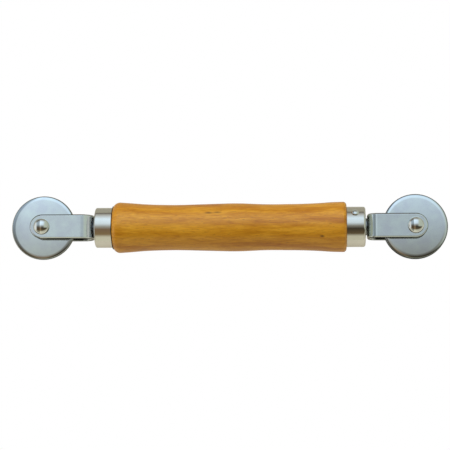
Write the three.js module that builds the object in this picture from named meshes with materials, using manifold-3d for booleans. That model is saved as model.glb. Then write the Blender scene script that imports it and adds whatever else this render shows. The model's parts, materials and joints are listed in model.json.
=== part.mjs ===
// Double-ended screen spline roller: a turned wooden handle with a steel fork and a disc wheel at each end.
// Millimetres, +Z up. The handle runs along X, the tool lies on its handle on z = 0, both wheels are level,
// and the origin is on that plane under the middle of the tool. The convex wheel is at -X, the grooved at +X.
//
// Each end is drawn as the +X end, in a frame on the tool's axis with x measured outwards from the middle.
// The -X end is the same drawing, turned half round the Z axis by its group.

import * as THREE from 'three';
import { mergeVertices } from 'three/addons/utils/BufferGeometryUtils.js';
import Module from 'manifold-3d';

const wasm = await Module();
wasm.setup();

// Clearances
const FIT_GAP = 0.3; // between pieces that touch on the real tool
const RUNNING_GAP = 0.1; // radial, between a wheel and the bush that it turns on
const SIDE_PLAY = 0.2; // between a wheel's side and the spacer next to it

// Handle: radii of the turned outline at stations along the tool, thickest near its two ends
const HANDLE_STATIONS = [
  [-53.9, 12.6], [-48.6, 12.25], [-42.6, 11.75], [-36.6, 11.45], [-25.6, 11.25], [-12.6, 11.55],
  [-3.6, 11.8], [4.4, 11.95], [11, 11.7], [20, 11.38], [30.4, 11.45], [37.4, 11.55], [45.4, 11.9],
  [51.4, 12.3], [56.9, 12.45],
];
const HANDLE_LEFT_CORNER = 3.5; // radius of the turned corner at the -X shoulder
const HANDLE_RIGHT_CORNER = 1.7;
const HANDLE_SEGMENTS = 36;
const HANDLE_OUTLINE_STEPS = 20;

// Ferrules: drawn cups over the handle's end spigots
const FERRULE_RADIUS = 10;
const FERRULE_WALL = 0.7;
const FERRULE_INNER_CORNER = 0.4;
const PIN_X = 62.8;
const PIN_RADIUS = 0.8;
const PIN_HEAD_RADIUS = 1.9;
const PIN_HEAD_HEIGHT = 1.2;
const PIN_TIP_RADIUS = 5.4; // how near the tool's axis the pin's point comes

// Forks: strap bent to a U that lies on its side, with round arm ends about the axle
const AXLE_X = 92.4;
const ARM_FLAT_END_X = 86; // where the plain flat of an arm ends and its drilled end starts
const STRAP_WIDTH = 12;
const STRAP_THICKNESS = 1.8;
const FORK_HALF_HEIGHT = 7; // from the tool's axis to the outside of an arm
const FORK_STANDOFF = 0.8; // from a ferrule's closed end to the outside of the U's base
const STRAP_EDGE = 0.5; // rounding of the strap's long edges

// Tangs: ribbed shank in the handle, collar on the end grain, riveted head inside the fork
const TANG_TIP_X = 36;
const TANG_RADIUS = 3;
const TANG_RIB_DEPTH = 0.5;
const TANG_RIB_PITCH = 4;
const TANG_RIB_COUNT = 6;
const TANG_COLLAR_RADIUS = 4.2;
const TANG_NOSE_RADIUS = 2.4; // where it passes through the fork's base
const TANG_HEAD_RADIUS = 3.4;
const TANG_HEAD_HEIGHT = 1.5;

// Axles: domed rivet, and the bush that spaces the arms
const RIVET_RADIUS = 2.4;
const RIVET_HEAD_RADIUS = 4.05;
const RIVET_HEAD_HEIGHT = 3;
const RIVET_TAIL_RADIUS = 3.9; // the head formed when the rivet is closed
const RIVET_TAIL_HEIGHT = 2.2;
const BUSH_WALL = 0.9;
const SPACER_RADIUS = 5.6;

// Wheels
const WHEEL_RADIUS = 16;
const WHEEL_SEGMENTS = 48;
const CONVEX_WHEEL_THICKNESS = 3.6;
const RIM_BULGE = 1.1; // how far the convex wheel's rim stands out beyond its flat faces
const GROOVED_WHEEL_THICKNESS = 5.4;
const GROOVE_RADIUS = 1.5;
const LIP_RADIUS = 1.2; // outer corner of each lip beside the groove

// The two ends, made by hand and so not quite alike. shoulderX is where the handle's shoulder stands. noseX
// is the outside of the ferrule's closed end, and ferruleCorner its rounding. bendRadius is the outside of
// the fork's bends. pinAngle is how far round from straight up the ferrule's pin sits: towards +Y at the
// right end, and underneath at the left end.
const LEFT_END = {
  side: 'left', turn: Math.PI, shoulderX: 57.4, noseX: 66, ferruleCorner: 0.7, bendRadius: 6.4,
  pinAngle: THREE.MathUtils.degToRad(200),
};
const RIGHT_END = {
  side: 'right', turn: 0, shoulderX: 58.6, noseX: 67.9, ferruleCorner: 1.1, bendRadius: 5,
  pinAngle: THREE.MathUtils.degToRad(36),
};

const ROUND_SEGMENTS = 32; // round a ferrule or spacer
const SMALL_SEGMENTS = 20; // round a rivet, pin or tang
const ARC_STEPS = 4; // along a quarter round
const OVERCUT = 1; // how far a cutting tool runs past what it cuts

const FINISHES = {
  wood: { color: 0xb9822f, roughness: 0.32, metalness: 0 },
  zincPlate: { color: 0xb6c2c6, roughness: 0.34, metalness: 1 },
  nickelPlate: { color: 0xc9cac6, roughness: 0.16, metalness: 1 },
  brightSteel: { color: 0xc4c6c4, roughness: 0.2, metalness: 1 },
  plainSteel: { color: 0x8d8f90, roughness: 0.45, metalness: 1 },
  bronze: { color: 0xa9824b, roughness: 0.4, metalness: 1 },
};

function piece(name, geometry, finish) {
  const mesh = new THREE.Mesh(geometry, new THREE.MeshStandardMaterial(FINISHES[finish]));
  mesh.name = name;
  return mesh;
}

// Points of a round stretch about (radius, along), from one angle to another in degrees
function arc(radius, along, size, fromDegrees, toDegrees, steps = ARC_STEPS) {
  return Array.from({ length: steps + 1 }, (_, i) => {
    const angle = THREE.MathUtils.degToRad(fromDegrees + ((toDegrees - fromDegrees) * i) / steps);
    return [radius + size * Math.cos(angle), along + size * Math.sin(angle)];
  });
}

// Points of a dome from its rim to its pole; a negative height makes it point down
function dome(radius, base, height, steps = ARC_STEPS) {
  return Array.from({ length: steps + 1 }, (_, i) => {
    const angle = (Math.PI / 2) * (i / steps);
    return [i === steps ? 0 : radius * Math.cos(angle), base + height * Math.sin(angle)];
  });
}

// One surface with shared vertices and no triangle that is only a line
function welded(geometry) {
  const bare = geometry.clone();
  bare.deleteAttribute('normal');
  bare.deleteAttribute('uv');
  const merged = mergeVertices(bare, 1e-4);
  const corners = merged.index.array;
  const kept = [];
  for (let i = 0; i < corners.length; i += 3) {
    const [a, b, c] = corners.slice(i, i + 3);
    if (a !== b && b !== c && c !== a) kept.push(a, b, c);
  }
  merged.setIndex(kept);
  return merged;
}

// A turned body: outline points are [radius, distance along the axis], and they start and end on the axis or
// close on themselves. A facet, not an edge, faces straight down.
function lathed(outline, segments) {
  const points = outline.map(([radius, along]) => new THREE.Vector2(radius, along));
  if (THREE.ShapeUtils.isClockWise(points)) points.reverse();
  if (points.at(0).x > 0) points.push(points[0].clone());
  return welded(new THREE.LatheGeometry(points, segments, Math.PI / segments));
}

function turnedAlongX(outline, segments = ROUND_SEGMENTS) {
  return lathed(outline, segments).rotateZ(-Math.PI / 2);
}

function turnedAlongZ(outline, segments = ROUND_SEGMENTS) {
  return lathed(outline, segments).rotateX(Math.PI / 2);
}

function manifoldOf(geometry) {
  const { position } = geometry.attributes;
  const triVerts = Uint32Array.from(geometry.index.array);
  const vertProperties = Float32Array.from(position.array);
  return new wasm.Manifold(new wasm.Mesh({ numProp: 3, vertProperties, triVerts }));
}

function geometryOf(manifold) {
  const { vertProperties, triVerts } = manifold.getMesh();
  const geometry = new THREE.BufferGeometry();
  geometry.setAttribute('position', new THREE.BufferAttribute(vertProperties, 3));
  geometry.setIndex(new THREE.BufferAttribute(triVerts, 1));
  return geometry;
}

// The body with each tool's shape cut away
function cut(geometry, ...tools) {
  const start = manifoldOf(geometry);
  return geometryOf(tools.reduce((rest, tool) => rest.subtract(manifoldOf(tool)), start));
}

function joined(...geometries) {
  return geometryOf(geometries.map(manifoldOf).reduce((whole, next) => whole.add(next)));
}

function drillAlongZ(radius, fromZ, toZ) {
  return turnedAlongZ([[0, fromZ], [radius, fromZ], [radius, toZ], [0, toZ]], SMALL_SEGMENTS);
}

function drillAlongX(radius, fromX, toX) {
  return turnedAlongX([[0, fromX], [radius, fromX], [radius, toX], [0, toX]], SMALL_SEGMENTS);
}

// Hole for a ferrule's pin, through the wall and into the wood, in the end's own frame
function pinHole(end) {
  const drill = drillAlongZ(PIN_RADIUS + FIT_GAP, PIN_TIP_RADIUS - FIT_GAP, FERRULE_RADIUS + OVERCUT);
  return drill.rotateX(-end.pinAngle).translate(PIN_X, 0, 0);
}

const SPIGOT_RADIUS = FERRULE_RADIUS - FERRULE_WALL - FIT_GAP;
const TANG_BORE_RADIUS = TANG_RADIUS + FIT_GAP;
const TANG_BORE_END_X = TANG_TIP_X - FIT_GAP;
const DRILL_POINT = 2; // depth of the cone that a drill leaves

function spigotEndX(end) {
  return end.noseX - FERRULE_WALL - FIT_GAP;
}

// Stations along the turned outline, evenly spaced on the smooth curve through the driving ones
function handleOutline() {
  const curve = new THREE.SplineCurve(HANDLE_STATIONS.map(([x, radius]) => new THREE.Vector2(radius, x)));
  return curve.getSpacedPoints(HANDLE_OUTLINE_STEPS).map((point) => [point.x, point.y]);
}

// The handle: turned body, a spigot at each end for the ferrule and a blind bore in each for the tang
function handle() {
  const [leftX, leftRadius] = HANDLE_STATIONS.at(0);
  const [rightX, rightRadius] = HANDLE_STATIONS.at(-1);
  const outline = [
    [0, -TANG_BORE_END_X + DRILL_POINT],
    [TANG_BORE_RADIUS, -TANG_BORE_END_X],
    [TANG_BORE_RADIUS, -spigotEndX(LEFT_END)],
    [SPIGOT_RADIUS, -spigotEndX(LEFT_END)],
    [SPIGOT_RADIUS, -LEFT_END.shoulderX],
    ...arc(leftRadius - HANDLE_LEFT_CORNER, leftX, HANDLE_LEFT_CORNER, -90, 0).slice(0, -1),
    ...handleOutline(),
    ...arc(rightRadius - HANDLE_RIGHT_CORNER, rightX, HANDLE_RIGHT_CORNER, 0, 90).slice(1),
    [SPIGOT_RADIUS, RIGHT_END.shoulderX],
    [SPIGOT_RADIUS, spigotEndX(RIGHT_END)],
    [TANG_BORE_RADIUS, spigotEndX(RIGHT_END)],
    [TANG_BORE_RADIUS, TANG_BORE_END_X],
    [0, TANG_BORE_END_X - DRILL_POINT],
  ];
  const holes = [LEFT_END, RIGHT_END].map((end) => pinHole(end).rotateZ(end.turn));
  return piece('handle', cut(turnedAlongX(outline, HANDLE_SEGMENTS), ...holes), 'wood');
}

// A cup with a rounded closed end, drilled for the tang's collar and for the pin
function ferrule(end) {
  const openX = end.shoulderX + FIT_GAP;
  const corner = end.ferruleCorner;
  const innerRadius = FERRULE_RADIUS - FERRULE_WALL;
  const innerX = end.noseX - FERRULE_WALL;
  const innerCorner = FERRULE_INNER_CORNER;
  const holeRadius = TANG_COLLAR_RADIUS + FIT_GAP;
  const outline = [
    [FERRULE_RADIUS, openX],
    ...arc(FERRULE_RADIUS - corner, end.noseX - corner, corner, 0, 90),
    [holeRadius, end.noseX],
    [holeRadius, innerX],
    ...arc(innerRadius - innerCorner, innerX - innerCorner, innerCorner, 90, 0, 2),
    [innerRadius, openX],
  ];
  return piece(`ferrule_${end.side}`, cut(turnedAlongX(outline), pinHole(end)), 'nickelPlate');
}

// A round-headed brad through the ferrule into the wood
function ferrulePin(end) {
  const headBase = FERRULE_RADIUS + FIT_GAP;
  const outline = [
    [0, PIN_TIP_RADIUS],
    [PIN_RADIUS, PIN_TIP_RADIUS + 2 * PIN_RADIUS],
    [PIN_RADIUS, headBase],
    ...dome(PIN_HEAD_RADIUS, headBase, PIN_HEAD_HEIGHT),
  ];
  const mesh = piece(`ferrule_pin_${end.side}`, turnedAlongZ(outline, SMALL_SEGMENTS), 'brightSteel');
  mesh.rotation.x = -end.pinAngle;
  mesh.position.x = PIN_X;
  return mesh;
}

function forkBaseX(end) {
  return end.noseX + FORK_STANDOFF;
}

// Side view of the bent strap: outside of the U one way, and its inside back
function forkSideView(end) {
  const inside = FORK_HALF_HEIGHT - STRAP_THICKNESS;
  const bendX = forkBaseX(end) + end.bendRadius;
  const bendZ = FORK_HALF_HEIGHT - end.bendRadius;
  const innerBend = end.bendRadius - STRAP_THICKNESS;
  const shape = new THREE.Shape();
  shape.moveTo(ARM_FLAT_END_X, FORK_HALF_HEIGHT);
  shape.lineTo(bendX, FORK_HALF_HEIGHT);
  shape.absarc(bendX, bendZ, end.bendRadius, Math.PI / 2, Math.PI, false);
  shape.absarc(bendX, -bendZ, end.bendRadius, Math.PI, Math.PI * 1.5, false);
  shape.lineTo(ARM_FLAT_END_X, -FORK_HALF_HEIGHT);
  shape.lineTo(ARM_FLAT_END_X, -inside);
  shape.absarc(bendX, -bendZ, innerBend, Math.PI * 1.5, Math.PI, true);
  shape.absarc(bendX, bendZ, innerBend, Math.PI, Math.PI / 2, true);
  shape.lineTo(ARM_FLAT_END_X, inside);
  shape.closePath();
  return shape;
}

// Plan view of an arm's end: straight sides and a half round about the axle. It starts inside the plain flat
function armEndPlanView() {
  const half = STRAP_WIDTH / 2;
  const startX = ARM_FLAT_END_X - 2 * OVERCUT;
  const shape = new THREE.Shape();
  shape.moveTo(startX, -half);
  shape.lineTo(AXLE_X, -half);
  shape.absarc(AXLE_X, 0, half, -Math.PI / 2, Math.PI / 2, false);
  shape.lineTo(startX, half);
  shape.closePath();
  return shape;
}

// A flat outline as thick as given, centred on its own plane, with its edges rounded as the strap's are
function roundEdgedPlate(shape, thickness, curveSegments) {
  const plate = new THREE.ExtrudeGeometry(shape, {
    depth: thickness - 2 * STRAP_EDGE,
    bevelThickness: STRAP_EDGE,
    bevelSize: STRAP_EDGE,
    bevelOffset: -STRAP_EDGE,
    bevelSegments: 2,
    curveSegments,
  });
  return welded(plate.translate(0, 0, STRAP_EDGE - thickness / 2));
}

// The bent strap, extruded across its width, with a flat end on each arm, then drilled
function fork(end) {
  const strap = roundEdgedPlate(forkSideView(end), STRAP_WIDTH, 4).rotateX(Math.PI / 2);
  const armZ = FORK_HALF_HEIGHT - STRAP_THICKNESS / 2;
  const armEnds = [armZ, -armZ].map(
    (z) => roundEdgedPlate(armEndPlanView(), STRAP_THICKNESS, 8).translate(0, 0, z),
  );
  const reach = FORK_HALF_HEIGHT + OVERCUT;
  const rivetHole = drillAlongZ(RIVET_RADIUS + FIT_GAP, -reach, reach).translate(AXLE_X, 0, 0);
  const baseX = forkBaseX(end);
  const farX = baseX + STRAP_THICKNESS + OVERCUT;
  const tangHole = drillAlongX(TANG_NOSE_RADIUS + FIT_GAP, baseX - OVERCUT, farX);
  const body = cut(joined(strap, ...armEnds), rivetHole, tangHole);
  return piece(`fork_${end.side}`, body, 'zincPlate');
}

// How far outwards the fork's inner face has curved at a given height from the tool's axis
function innerBendRise(end, height) {
  const radius = end.bendRadius - STRAP_THICKNESS;
  const past = Math.max(0, height - (FORK_HALF_HEIGHT - end.bendRadius));
  return radius - Math.sqrt(radius ** 2 - past ** 2);
}

// Ribbed shank, collar against the end grain, and the head riveted over inside the fork
function tang(end) {
  const collarStart = spigotEndX(end) + FIT_GAP;
  const collarEnd = forkBaseX(end) - FIT_GAP;
  const underHead = forkBaseX(end) + STRAP_THICKNESS + FIT_GAP;
  const rimX = underHead + innerBendRise(end, TANG_HEAD_RADIUS);
  const ribs = [];
  for (let i = 0; i < TANG_RIB_COUNT; i += 1) {
    const ribX = TANG_TIP_X + TANG_RIB_PITCH * (i + 0.75);
    ribs.push([TANG_RADIUS - TANG_RIB_DEPTH, ribX - TANG_RIB_PITCH / 2], [TANG_RADIUS, ribX]);
  }
  const outline = [
    [0, TANG_TIP_X],
    ...ribs,
    [TANG_RADIUS, collarStart],
    [TANG_COLLAR_RADIUS, collarStart],
    [TANG_COLLAR_RADIUS, collarEnd],
    [TANG_NOSE_RADIUS, collarEnd],
    [TANG_NOSE_RADIUS, underHead + innerBendRise(end, TANG_NOSE_RADIUS)],
    [TANG_HEAD_RADIUS, rimX],
    ...dome(TANG_HEAD_RADIUS, rimX + FIT_GAP, TANG_HEAD_HEIGHT - FIT_GAP, 3),
  ];
  return piece(`tang_${end.side}`, turnedAlongX(outline, SMALL_SEGMENTS), 'plainSteel');
}

function axleRivet(end) {
  const reach = FORK_HALF_HEIGHT + FIT_GAP;
  const outline = [
    ...dome(RIVET_TAIL_RADIUS, -reach, -RIVET_TAIL_HEIGHT).reverse(),
    [RIVET_RADIUS, -reach],
    [RIVET_RADIUS, reach],
    ...dome(RIVET_HEAD_RADIUS, reach, RIVET_HEAD_HEIGHT - FIT_GAP),
  ];
  return piece(`axle_rivet_${end.side}`, turnedAlongZ(outline, SMALL_SEGMENTS), 'brightSteel');
}

const BUSH_INNER_RADIUS = RIVET_RADIUS + FIT_GAP;
const BUSH_OUTER_RADIUS = BUSH_INNER_RADIUS + BUSH_WALL;
const BUSH_HALF_LENGTH = FORK_HALF_HEIGHT - STRAP_THICKNESS - FIT_GAP;
const WHEEL_BORE_RADIUS = BUSH_OUTER_RADIUS + RUNNING_GAP;

function ring(innerRadius, outerRadius, fromZ, toZ, segments) {
  const outline = [[innerRadius, fromZ], [outerRadius, fromZ], [outerRadius, toZ], [innerRadius, toZ]];
  return turnedAlongZ(outline, segments);
}

// The sleeve that the wheel turns on; it also keeps the arms apart when the rivet is closed
function axleBush(end) {
  const sleeve = ring(
    BUSH_INNER_RADIUS, BUSH_OUTER_RADIUS, -BUSH_HALF_LENGTH, BUSH_HALF_LENGTH, WHEEL_SEGMENTS,
  );
  return piece(`axle_bush_${end.side}`, sleeve, 'bronze');
}

// The washers over the bush that centre the wheel between the arms
function spacers(end, wheelThickness) {
  const inner = BUSH_OUTER_RADIUS + FIT_GAP;
  const nearZ = wheelThickness / 2 + SIDE_PLAY;
  return [
    piece(`spacer_${end.side}_up`, ring(inner, SPACER_RADIUS, nearZ, BUSH_HALF_LENGTH), 'plainSteel'),
    piece(`spacer_${end.side}_down`, ring(inner, SPACER_RADIUS, -BUSH_HALF_LENGTH, -nearZ), 'plainSteel'),
  ];
}

// Flat disc whose rim bulges in one half ellipse
function convexWheel() {
  const half = CONVEX_WHEEL_THICKNESS / 2;
  const faceRadius = WHEEL_RADIUS - RIM_BULGE;
  const halfRound = arc(0, 0, 1, -90, 90, 2 * ARC_STEPS);
  const rim = halfRound.map(([out, up]) => [faceRadius + RIM_BULGE * out, half * up]);
  const outline = [[WHEEL_BORE_RADIUS, -half], ...rim, [WHEEL_BORE_RADIUS, half]];
  return piece('convex_wheel', turnedAlongZ(outline, WHEEL_SEGMENTS), 'zincPlate');
}

// Thicker disc with a half-round groove between two round-shouldered lips
function groovedWheel() {
  const half = GROOVED_WHEEL_THICKNESS / 2;
  const lipRadius = WHEEL_RADIUS - LIP_RADIUS;
  const lipZ = half - LIP_RADIUS;
  const outline = [
    [WHEEL_BORE_RADIUS, -half],
    ...arc(lipRadius, -lipZ, LIP_RADIUS, -90, 0, 3),
    ...arc(WHEEL_RADIUS, 0, GROOVE_RADIUS, -90, -270, 2 * ARC_STEPS).slice(1, -1),
    ...arc(lipRadius, lipZ, LIP_RADIUS, 0, 90, 3),
    [WHEEL_BORE_RADIUS, half],
  ];
  return piece('grooved_wheel', turnedAlongZ(outline, WHEEL_SEGMENTS), 'zincPlate');
}

// Everything beyond one shoulder of the handle
function toolEnd(end, wheel, wheelThickness) {
  const axle = new THREE.Group();
  axle.add(wheel, axleRivet(end), axleBush(end), ...spacers(end, wheelThickness));
  axle.position.x = AXLE_X;
  const group = new THREE.Group();
  group.add(ferrule(end), ferrulePin(end), fork(end), tang(end), axle);
  group.rotation.z = end.turn;
  return group;
}

// The handle's thickest ring has a facet underneath, and the tool stands on it
const THICKEST_RADIUS = Math.max(...HANDLE_STATIONS.map(([, radius]) => radius));
const AXIS_HEIGHT = THICKEST_RADIUS * Math.cos(Math.PI / HANDLE_SEGMENTS);

const splineRoller = new THREE.Group();
splineRoller.add(
  handle(),
  toolEnd(LEFT_END, convexWheel(), CONVEX_WHEEL_THICKNESS),
  toolEnd(RIGHT_END, groovedWheel(), GROOVED_WHEEL_THICKNESS),
);
splineRoller.position.z = AXIS_HEIGHT;

export default splineRoller;
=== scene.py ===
# %% [markdown]
# # A screen spline roller
#
# This tool presses the rubber spline of a window screen into its groove. A turned wooden handle holds a
# steel fork at each end, and in each fork runs a steel disc wheel. It has no soft parts, so every piece is
# a hard surface, and nearly all of them are bodies of revolution. That decides the method: each piece is an
# outline turned about an axis, or a strap carried along a bend, worked out as arrays of points.

# %% Load the frame
import json
import math

import bmesh
import bpy
import numpy as np
from mathutils import Matrix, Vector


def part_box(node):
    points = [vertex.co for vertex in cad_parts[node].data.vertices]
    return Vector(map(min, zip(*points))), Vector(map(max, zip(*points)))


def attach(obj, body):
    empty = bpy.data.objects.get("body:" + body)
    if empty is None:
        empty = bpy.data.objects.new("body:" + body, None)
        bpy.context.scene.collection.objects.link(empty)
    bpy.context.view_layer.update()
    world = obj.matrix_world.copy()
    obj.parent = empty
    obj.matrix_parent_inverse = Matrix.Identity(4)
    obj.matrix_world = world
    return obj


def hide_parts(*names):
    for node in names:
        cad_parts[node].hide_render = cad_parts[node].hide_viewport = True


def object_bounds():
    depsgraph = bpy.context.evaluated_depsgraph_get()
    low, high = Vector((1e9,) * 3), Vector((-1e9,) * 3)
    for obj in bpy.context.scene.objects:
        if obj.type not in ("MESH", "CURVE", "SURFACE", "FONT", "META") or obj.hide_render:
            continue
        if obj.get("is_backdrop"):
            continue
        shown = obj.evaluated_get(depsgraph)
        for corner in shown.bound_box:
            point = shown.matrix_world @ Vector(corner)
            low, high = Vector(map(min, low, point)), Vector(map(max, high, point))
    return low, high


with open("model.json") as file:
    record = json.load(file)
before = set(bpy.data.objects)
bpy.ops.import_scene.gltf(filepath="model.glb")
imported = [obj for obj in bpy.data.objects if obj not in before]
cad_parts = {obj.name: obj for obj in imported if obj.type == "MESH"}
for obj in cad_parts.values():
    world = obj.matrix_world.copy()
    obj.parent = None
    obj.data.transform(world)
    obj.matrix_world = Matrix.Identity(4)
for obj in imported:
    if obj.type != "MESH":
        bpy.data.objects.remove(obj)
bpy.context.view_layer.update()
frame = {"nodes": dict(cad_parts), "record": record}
record = frame["record"]
MM = 0.001

# %% Where the CAD put the two axles
axle_points = {joint["child"]: np.array(joint["pos_m"]) for joint in record["behaviour"]["joints"]}
AXLE = {"left": axle_points["convex_wheel"], "right": axle_points["grooved_wheel"]}
OUTWARD = {"left": -1, "right": 1}
AXIS_HEIGHT = AXLE["left"][2]
HANDLE_AXIS = np.array([0, 0, AXIS_HEIGHT])  # the middle of the handle
X, Y, Z = np.eye(3)
print("axles at", AXLE, "axis height", AXIS_HEIGHT)


def box_of(node):
    """Lowest and highest corner of a CAD node, as two arrays."""
    low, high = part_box(node)
    return np.array(low), np.array(high)


# %% [markdown]
# ## The camera
#
# The tool lies on a table and is seen from nearly straight above, a little from the near side and from the
# right, through a long lens. The camera is placed by three things: the point it looks at, the direction
# back to it, and its distance. The lens then follows from the width that the frame shows at that distance.

# %% Camera
CAMERA_DISTANCE = 0.76
VIEW_WIDTH = 0.2238  # metres across the frame at the tool's axis
VIEW_PITCH = math.radians(7.4)  # from straight above, towards the near side
VIEW_YAW = math.radians(3.4)  # towards the grooved wheel's end
VIEW_ROLL = math.radians(0.2)
AIM = np.array([-0.0016, 0.0012, AXIS_HEIGHT])
SENSOR_WIDTH = 36

back = np.array([math.tan(VIEW_YAW), -math.tan(VIEW_PITCH), 1])
back /= np.linalg.norm(back)
right = np.cross(Y, back)
right /= np.linalg.norm(right)
up = np.cross(back, right)
turned_right = math.cos(VIEW_ROLL) * right + math.sin(VIEW_ROLL) * up
turned_up = np.cross(back, turned_right)

camera_data = bpy.data.cameras.new("camera")
camera_data.sensor_width = SENSOR_WIDTH
camera_data.lens = SENSOR_WIDTH * CAMERA_DISTANCE / VIEW_WIDTH
camera = bpy.data.objects.new("camera", camera_data)
bpy.context.collection.objects.link(camera)
place = np.eye(4)
place[:3, 0], place[:3, 1], place[:3, 2] = turned_right, turned_up, back
place[:3, 3] = AIM + back * CAMERA_DISTANCE
camera.matrix_world = Matrix(place)
bpy.context.scene.camera = camera
print("lens", round(camera_data.lens, 1), "mm, camera at", place[:3, 3].round(3))

# %% [markdown]
# ## Turning an outline
#
# A lathe piece needs one outline, as radius against distance along the axis, and real edges are never
# sharp, so each corner gets a small arc. Beside each arc the outline carries one more point on the
# straight: smooth shading then changes only across the arc, and the flat faces stay flat to the eye.


# %% Outlines with rounded corners
def rounded_outline(corners, closed, steps=6):
    """Points along a chain of straights whose corners are arcs.

    A corner is (radius, along, rounding), in mm. Where the sides turn by an angle a, the arc starts
    rounding * tan(a / 2) before the corner, ends as far after it, and its centre lies rounding away
    from both sides.
    """
    corner = np.array(corners, float)
    point, rounding = corner[:, :2], corner[:, 2]
    count, pieces = len(corner), []
    for i in range(count):
        at = point[i]
        if rounding[i] == 0 or (not closed and i in (0, count - 1)):
            pieces.append(at[None])
            continue
        before, after = point[i - 1] - at, point[(i + 1) % count] - at
        reach_before, reach_after = np.linalg.norm(before), np.linalg.norm(after)
        before, after = before / reach_before, after / reach_after
        half_turn = (math.pi - math.acos(np.clip(before @ after, -1, 1))) / 2
        start = rounding[i] * math.tan(half_turn)
        bisector = (before + after) / np.linalg.norm(before + after)
        centre = at + bisector * rounding[i] / math.cos(half_turn)
        first, last = at + before * start - centre, at + after * start - centre
        share = np.linspace(0, 1, steps + 1)[:, None]
        turn = 2 * half_turn
        arc = centre + (np.sin((1 - share) * turn) * first + np.sin(share * turn) * last) / math.sin(turn)
        guard = 0.35 * rounding[i]
        lead_in = at + before * min(start + guard, 0.5 * reach_before)
        lead_out = at + after * min(start + guard, 0.5 * reach_after)
        pieces.append(np.vstack([lead_in, arc, lead_out]))
    return np.vstack(pieces)


def dome(radius, base, height, steps=16):
    """Quarter ellipse from (radius, base) to the axis: (radius * cos t, base + height * sin t)."""
    t = np.linspace(0, math.pi / 2, steps + 1)
    return np.column_stack([radius * np.cos(t), base + height * np.sin(t)])


# %% Grids into meshes
LARGE_ROUND = 256  # sides of a turned piece, by its size
SMALL_ROUND = 96
PIN_ROUND = 64


def add_piece(name, points, faces):
    """A smooth mesh object from points in metres; coinciding points are merged, and faces turned outwards."""
    mesh = bpy.data.meshes.new(name)
    mesh.from_pydata(points, [], faces)
    shape = bmesh.new()
    shape.from_mesh(mesh)
    bmesh.ops.remove_doubles(shape, verts=shape.verts, dist=1e-7)
    bmesh.ops.recalc_face_normals(shape, faces=shape.faces)
    open_edges = sum(not edge.is_manifold for edge in shape.edges)
    shape.to_mesh(mesh)
    shape.free()
    mesh.shade_smooth()
    piece = bpy.data.objects.new(name, mesh)
    bpy.context.collection.objects.link(piece)
    print(f"{name}: {len(mesh.polygons)} faces, {open_edges} open edges")
    return piece


def grid_faces(rows, columns, wrap_rows):
    """Quads of a grid whose columns always wrap round, and whose rows do if wrap_rows."""
    row = np.arange(rows if wrap_rows else rows - 1)[:, None]
    column = np.arange(columns)[None, :]
    next_row, next_column = (row + 1) % rows, (column + 1) % columns
    corners = [row * columns + column, row * columns + next_column,
               next_row * columns + next_column, next_row * columns + column]
    return np.stack(corners, axis=-1).reshape(-1, 4)


def turned(name, outline, centre, axis, segments, closed=False):
    """An outline turned about an axis through centre: point(j, t) = centre + along_j * axis
    + radius_j * (cos t * side + sin t * other), with t in equal steps round the circle."""
    axis = np.array(axis, float)
    side = np.cross(axis, Y if abs(axis @ Y) < 0.9 else X)
    side /= np.linalg.norm(side)
    other = np.cross(axis, side)
    t = np.linspace(0, 2 * math.pi, segments, endpoint=False)
    spoke = np.cos(t)[:, None] * side + np.sin(t)[:, None] * other
    radius, along = (outline * MM).T
    points = centre + along[:, None, None] * axis + radius[:, None, None] * spoke
    return add_piece(name, points.reshape(-1, 3), grid_faces(len(outline), segments, closed))


# %% [markdown]
# ## The materials
#
# All patterns read Object coordinates in metres, because every piece keeps its object at the origin: a
# pattern then has a real size. Colours are written as the sRGB values that a colour picker shows, and turned
# to linear light once.


# %% Colour and node helpers
def linear(hex_colour, alpha=1.0):
    """#rrggbb to linear light: c / 12.92 below 0.04045, else ((c + 0.055) / 1.055) to the power 2.4."""
    value = np.array([int(hex_colour[i:i + 2], 16) for i in (1, 3, 5)]) / 255
    light = np.where(value <= 0.04045, value / 12.92, ((value + 0.055) / 1.055) ** 2.4)
    return (*light.tolist(), alpha)


def add_node(tree, kind, settings=None, links=None):
    """One shader node. A setting names an attribute, or an input by name or number; a link feeds an input."""
    made = tree.nodes.new(kind)
    for key, value in (settings or {}).items():
        if isinstance(key, str) and hasattr(made, key) and key not in made.inputs:
            setattr(made, key, value)
        else:
            made.inputs[key].default_value = value
    for key, source in (links or {}).items():
        tree.links.new(source, made.inputs[key])
    return made


def new_material(name):
    """An empty node material with its output, and Object coordinates to start from."""
    material = bpy.data.materials.new(name)
    material.use_nodes = True
    tree = material.node_tree
    tree.nodes.clear()
    output = add_node(tree, "ShaderNodeOutputMaterial")
    place = add_node(tree, "ShaderNodeTexCoord").outputs["Object"]
    return material, tree, output.inputs["Surface"], place


def colour_ramp(tree, source, stops):
    """A colour ramp fed by source; stops are (position, colour)."""
    ramp = add_node(tree, "ShaderNodeValToRGB", links={"Fac": source})
    elements = ramp.color_ramp.elements
    while len(elements) < len(stops):
        elements.new(0.5)
    for element, (position, colour) in zip(elements, stops):
        element.position, element.color = position, colour
    return ramp.outputs["Color"]


def stretched(tree, place, size_mm):
    """Coordinates in which one unit is size_mm = (x, y, z), so that a noise of scale 1 has that grain."""
    scale = [1 / (MM * size) for size in size_mm]
    return add_node(tree, "ShaderNodeMapping", {"Scale": scale}, {"Vector": place}).outputs["Vector"]
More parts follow.
